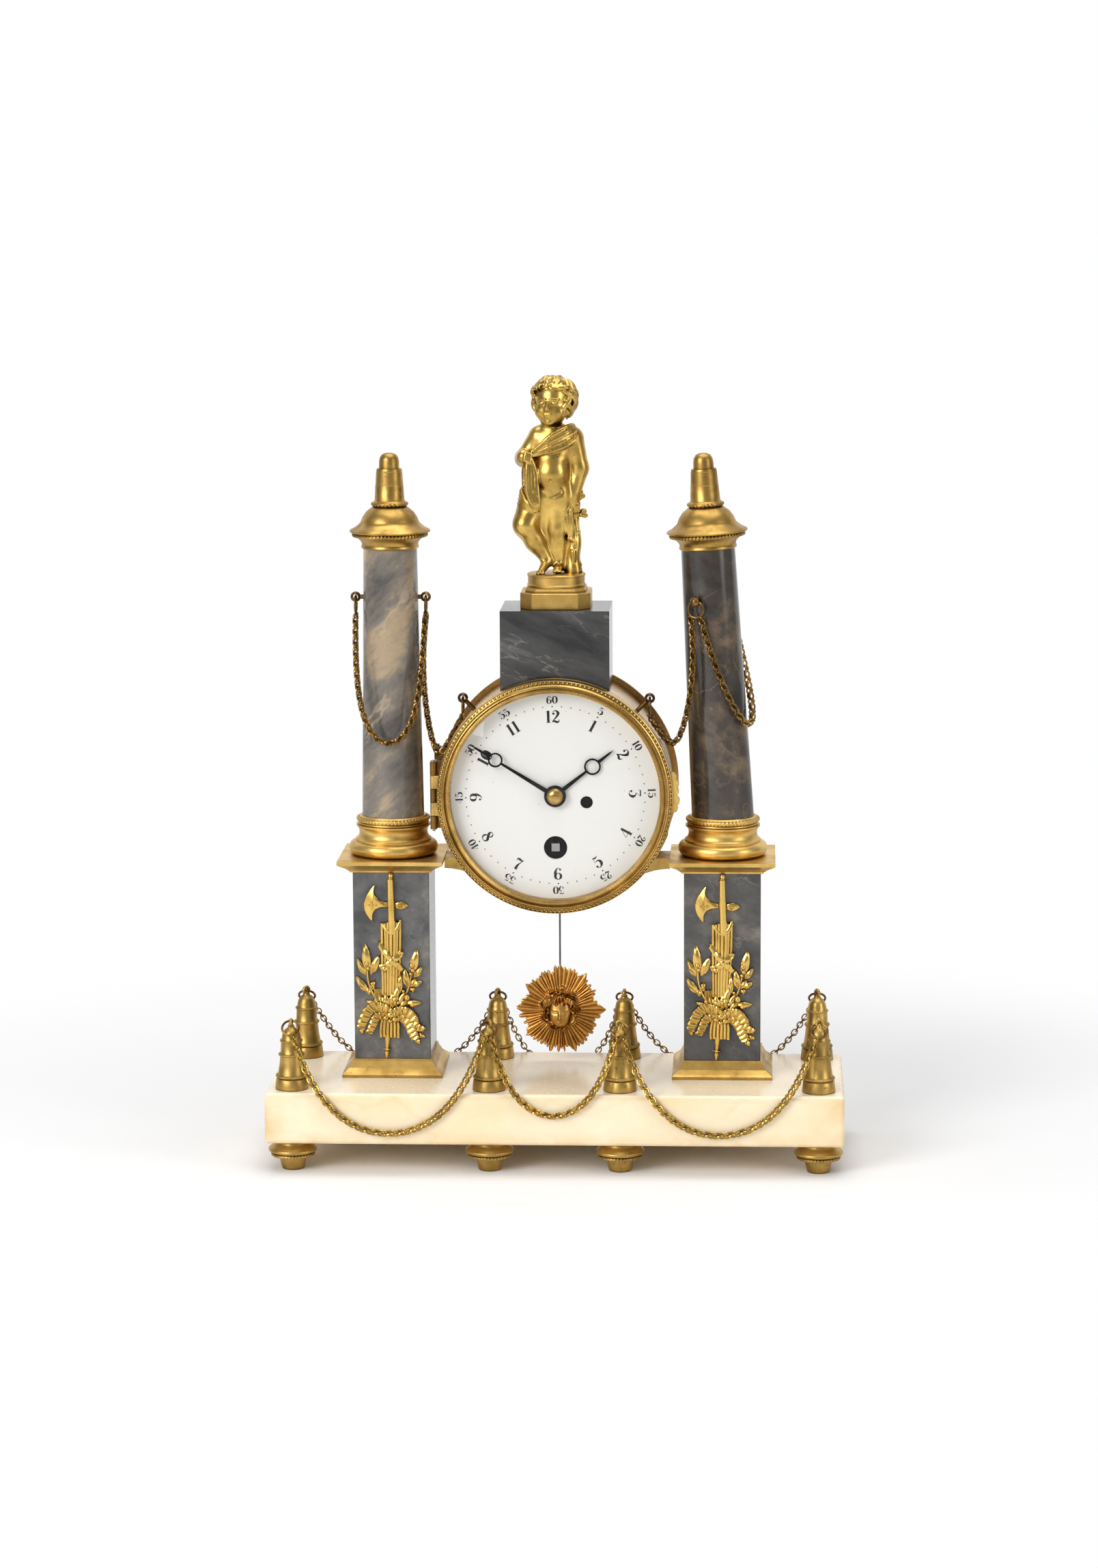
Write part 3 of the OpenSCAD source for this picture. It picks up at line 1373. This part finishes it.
module top_block() {
    corner_z = sqrt(pow(drum_r, 2) - pow(block_w / 2, 2)) - 0.6;
    color("#6a6862") difference() {
        translate([-block_w / 2, block_front, dial_z + corner_z])
            cube([block_w, block_d, block_top - corner_z]);
        at(centre_at) rod_y(drum_r, block_front - 1, block_front + block_d + 1);
        translate([0, block_y, dial_z]) cylinder(r = tie_rod_r + rod_fit, h = block_top + 1);
    }
}

module figure_plinth() {
    cut = 6.3;
    color("#b48a42") translate([0, block_y, block_z]) difference() {
        union() {
            linear_extrude(plinth_h) octagon(plinth_w, cut);
            linear_extrude(plinth_h + step_h) octagon(2 * round_r + 1, cut - 1);
            translate([0, 0, plinth_h + step_h]) turned([[0, 0], [round_r, 0],
                [round_r, round_h - 1.6], [round_r - 1.6, round_h], [0, round_h]]);
        }
        translate([0, 0, -1]) cylinder(r = tie_rod_r + rod_fit, h = plinth_h);
    }
}

// limb through (x, y, z, radius) places, in shares of the figure's height
module limb(places) {
    for (i = [0 : len(places) - 2]) hull() for (p = [places[i], places[i + 1]])
        translate([p[0], p[1], p[2]]) sphere(p[3], $fn = 14);
}

// standing child with a sash, one hand at the chest and the other on a tree stump
module putto() {
    color("#caa352") translate([0, block_y, figure_z]) scale(putto_h / 110) intersection() {
        union() {
            // straight leg and bent leg
            limb([[4.6, 1, 1, 3.4], [4.8, 1.5, 8, 3.6], [5.2, 0.5, 18, 5.4], [5, -0.5, 27, 4.6],
                [4.6, 0, 36, 6.8], [3.6, 1, 46, 8.4]]);
            limb([[4.6, 1, 1.6, 2.8], [5.4, -7, 1.4, 2.4]]);
            limb([[-3, -2, 3, 3], [-5, -1, 10, 3.6], [-8, -1.5, 18, 5], [-9.6, -3.6, 27, 4.8],
                [-7.4, -2, 37, 7], [-4, 1, 47, 8.6]]);
            limb([[-3, -3, 2, 2.6], [-1.4, -10, 1.6, 2.3]]);
            // trunk
            limb([[-0.4, 1, 48, 10.6], [0, -0.6, 56, 10.8], [0.4, 0, 66, 9.8], [0.6, 0.6, 73, 8.2],
                [0.2, 0, 80, 4.6]]);
            // arm across the chest, and arm down to the stump
            limb([[-9, 0.6, 74, 4.8], [-14, -1, 64, 4], [-10, -7.6, 62, 3.4], [-4, -10.6, 66, 2.8]]);
            limb([[10, 1, 73, 4.8], [15.4, 2, 62, 4.1], [14.6, 0, 50, 3.4], [13, -1.6, 45, 2.8]]);
            // head with curls
            limb([[-0.4, -1.4, 92, 10.6], [-0.8, -3, 90, 9.6]]);
            limb([[1, 1.6, 97, 11], [4, 2, 92, 10.4]]);
            for (i = [0 : 8]) translate([11.6 * cos(40 * i), 1.4 + 8.6 * sin(40 * i), 98 + 4 *
                sin(80 * i)]) sphere(3, $fn = 10);
            for (a = [20 : 40 : 180]) translate([1 + 8.6 * cos(a), -2, 98 + 9 * sin(a)])
                sphere(2.8, $fn = 10);
            // sash over the shoulder and drapery from the hand to the hip
            limb([[9, -1, 78, 3], [3, -9.6, 69, 2.6], [-4, -11, 64, 3]]);
            limb([[-5, -11, 64, 3], [-8.4, -9.6, 54, 3.6], [-11, -6, 44, 3.8], [-12, -2, 38, 3]]);
            limb([[9, 3, 77, 3.2], [6, 9.6, 66, 3], [-2, 11, 56, 3.4], [-9, 7, 47, 3.6]]);
            // tree stump
            limb([[10.6, 3.4, 0, 4.6], [11.4, 3, 16, 4], [12, 2, 31, 3.8], [12.8, 0.6, 43, 3.6]]);
        }
        translate([-40, -40, 0]) cube([80, 80, 120]);
    }
}

base_slab();
feet();
bollards();
bollard_rods();
chain_rings();
front_chain_left();
front_chain_middle();
front_chain_right();
rear_chains();
pedestal_feet();
left_pedestal();
right_pedestal();
left_trophy();
right_trophy();
pedestal_caps();
column_bases();
left_shaft();
right_shaft();
column_finials();
column_hooks();
left_column_chains();
right_column_chains();
tie_rods();
drum_case();
drum_brackets();
drum_hooks();
hinge_leaf();
hinge_pins();
latch_strap();
top_block();
figure_plinth();
putto();
bezel();
glass();
bezel_latch();
dial();
dial_ring();
hour_hand();
minute_hand();
hand_collet();
cannon_pinion();
minute_wheel();
hour_wheel();
front_plate();
back_plate();
pillars();
barrel();
mainspring();
winding_arbor();
click();
intermediate_wheel();
centre_wheel();
third_wheel();
escape_wheel();
pallets_crutch();
back_cock();
pendulum_rod();
sun_bob();
rear_cover();
